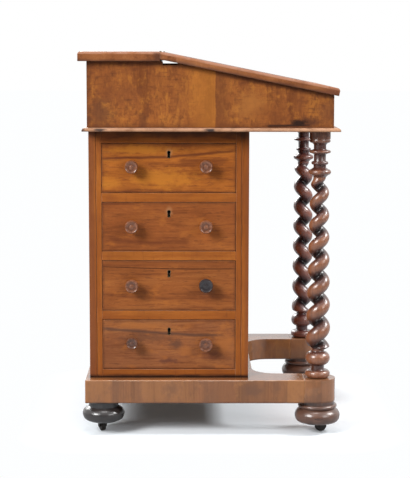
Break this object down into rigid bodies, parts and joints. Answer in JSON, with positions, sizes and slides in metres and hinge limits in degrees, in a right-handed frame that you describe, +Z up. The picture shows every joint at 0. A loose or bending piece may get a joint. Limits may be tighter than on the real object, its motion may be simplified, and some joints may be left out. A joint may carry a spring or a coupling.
{
  "type": "davenport desk",
  "caption": "Small walnut davenport desk: a writing box with a sloping hinged lid on a pedestal of side drawers, with twist columns, a sledge base and bun feet on castors.",
  "frame": {"origin": "on the floor, under the middle of the desk's bounding box", "axes": "+Z up; +X towards the writer, the way the lid slopes down; +Y the writer's right, so the working drawers open towards -Y"},
  "size_m": [0.567, 0.57, 0.8312],
  "materials": {
    "walnut": "french polished, worn at the edges",
    "walnut_figured": "french polished",
    "walnut_base": "waxed, cross-grained veneer",
    "walnut_dark": "dark stained, glossy polish",
    "walnut_black": "near-black stain, glossy polish",
    "walnut_knobs": "turned and polished",
    "pine": "bare, aged",
    "brass": "aged, dull",
    "castor_iron": "dark, worn",
    "leather": "aged skiver, blind-tooled border"
  },
  "bodies": {
    "carcase": {"base_arms": "walnut_base", "arm_end_blocks": "walnut_base", "base_cross_rails": "walnut_base", "front_bun_feet": "walnut_black", "rear_bun_feet": "walnut_black", "castor_plates": "castor_iron", "column_left": "walnut_dark", "column_right": "walnut_dark", "pedestal_back_panel": "walnut", "pedestal_front_panel": "walnut", "drawer_face_frame": "walnut", "drawer_runners": "pine", "dummy_side_panel": "walnut", "dummy_drawer_fronts": "walnut_figured", "dummy_knobs": "walnut_knobs", "case_bottom_board": "walnut", "case_left_side": "walnut", "case_right_side": "walnut", "case_back": "walnut", "case_front": "walnut", "lid_lock": "brass", "hinge_fixed_leaves_and_pins": "brass", "fixed_top": "walnut", "till_shelf": "pine"},
    "lid": {"lid_panel": "walnut", "lid_hinge_rail": "walnut", "writing_leather": "leather", "hinge_lid_leaves": "brass", "lid_strike_plate": "brass"},
    "drawer_1": {"drawer_1_front": "walnut_figured", "drawer_1_box": "pine", "drawer_1_knobs": "walnut_knobs", "drawer_1_lock": "brass"},
    "drawer_1_bolt": {"drawer_1_lock_bolt": "brass"},
    "drawer_2": {"drawer_2_front": "walnut_figured", "drawer_2_box": "pine", "drawer_2_knobs": "walnut_knobs", "drawer_2_lock": "brass"},
    "drawer_2_bolt": {"drawer_2_lock_bolt": "brass"},
    "drawer_3": {"drawer_3_front": "walnut_figured", "drawer_3_box": "pine", "drawer_3_knobs": "walnut_knobs", "drawer_3_lock": "brass"},
    "drawer_3_bolt": {"drawer_3_lock_bolt": "brass"},
    "drawer_4": {"drawer_4_front": "walnut_figured", "drawer_4_box": "pine", "drawer_4_knobs": "walnut_knobs", "drawer_4_lock": "brass"},
    "drawer_4_bolt": {"drawer_4_lock_bolt": "brass"},
    "lid_bolt": {"lid_lock_bolt": "brass"},
    "till_left": {"till_drawer_left": "pine"},
    "till_right": {"till_drawer_right": "pine"},
    "castor_front_left": {"castor_horn_front_left": "castor_iron"},
    "wheel_front_left": {"castor_wheel_front_left": "castor_iron"},
    "castor_front_right": {"castor_horn_front_right": "castor_iron"},
    "wheel_front_right": {"castor_wheel_front_right": "castor_iron"},
    "castor_rear_left": {"castor_horn_rear_left": "castor_iron"},
    "wheel_rear_left": {"castor_wheel_rear_left": "castor_iron"},
    "castor_rear_right": {"castor_horn_rear_right": "castor_iron"},
    "wheel_rear_right": {"castor_wheel_rear_right": "castor_iron"}
  },
  "joints": [
    {"name": "lid_hinge", "type": "hinge", "parent": "carcase", "child": "lid", "pos_m": [-0.11, 0, 0.8288], "axis": [0, -1, 0], "range_deg": [0, 100]},
    {"name": "drawer_1_slide", "type": "slide", "parent": "carcase", "child": "drawer_1", "axis": [0, -1, 0], "range_m": [0, 0.33]},
    {"name": "drawer_1_bolt_throw", "type": "slide", "parent": "drawer_1", "child": "drawer_1_bolt", "axis": [0, 0, 1], "range_m": [0, 0.007]},
    {"name": "drawer_2_slide", "type": "slide", "parent": "carcase", "child": "drawer_2", "axis": [0, -1, 0], "range_m": [0, 0.33]},
    {"name": "drawer_2_bolt_throw", "type": "slide", "parent": "drawer_2", "child": "drawer_2_bolt", "axis": [0, 0, 1], "range_m": [0, 0.007]},
    {"name": "drawer_3_slide", "type": "slide", "parent": "carcase", "child": "drawer_3", "axis": [0, -1, 0], "range_m": [0, 0.33]},
    {"name": "drawer_3_bolt_throw", "type": "slide", "parent": "drawer_3", "child": "drawer_3_bolt", "axis": [0, 0, 1], "range_m": [0, 0.007]},
    {"name": "drawer_4_slide", "type": "slide", "parent": "carcase", "child": "drawer_4", "axis": [0, -1, 0], "range_m": [0, 0.33]},
    {"name": "drawer_4_bolt_throw", "type": "slide", "parent": "drawer_4", "child": "drawer_4_bolt", "axis": [0, 0, 1], "range_m": [0, 0.007]},
    {"name": "lid_bolt_throw", "type": "slide", "parent": "carcase", "child": "lid_bolt", "axis": [0, 0, 1], "range_m": [0, 0.007]},
    {"name": "till_left_slide", "type": "slide", "parent": "carcase", "child": "till_left", "axis": [1, 0, 0], "range_m": [0, 0.11]},
    {"name": "till_right_slide", "type": "slide", "parent": "carcase", "child": "till_right", "axis": [1, 0, 0], "range_m": [0, 0.11]},
    {"name": "castor_front_left_swivel", "type": "hinge", "parent": "carcase", "child": "castor_front_left", "pos_m": [0.234, -0.234, 0.0337], "axis": [0, 0, 1], "continuous": true},
    {"name": "wheel_front_left_roll", "type": "hinge", "parent": "castor_front_left", "child": "wheel_front_left", "pos_m": [0.24222, -0.23034, 0.013], "axis": [-0.4067, 0.9135, 0], "continuous": true},
    {"name": "castor_front_right_swivel", "type": "hinge", "parent": "carcase", "child": "castor_front_right", "pos_m": [0.234, 0.234, 0.0337], "axis": [0, 0, 1], "continuous": true},
    {"name": "wheel_front_right_roll", "type": "hinge", "parent": "castor_front_right", "child": "wheel_front_right", "pos_m": [0.23822, 0.22605, 0.013], "axis": [0.8829, 0.4695, 0], "continuous": true},
    {"name": "castor_rear_left_swivel", "type": "hinge", "parent": "carcase", "child": "castor_rear_left", "pos_m": [-0.236, -0.234, 0.0337], "axis": [0, 0, 1], "continuous": true},
    {"name": "wheel_rear_left_roll", "type": "hinge", "parent": "castor_rear_left", "child": "wheel_rear_left", "pos_m": [-0.23937, -0.22565, 0.013], "axis": [-0.9272, -0.3746, 0], "continuous": true},
    {"name": "castor_rear_right_swivel", "type": "hinge", "parent": "carcase", "child": "castor_rear_right", "pos_m": [-0.236, 0.234, 0.0337], "axis": [0, 0, 1], "continuous": true},
    {"name": "wheel_rear_right_roll", "type": "hinge", "parent": "castor_rear_right", "child": "wheel_rear_right", "pos_m": [-0.2398, 0.22584, 0.013], "axis": [0.9063, -0.4226, 0], "continuous": true}
  ]
}
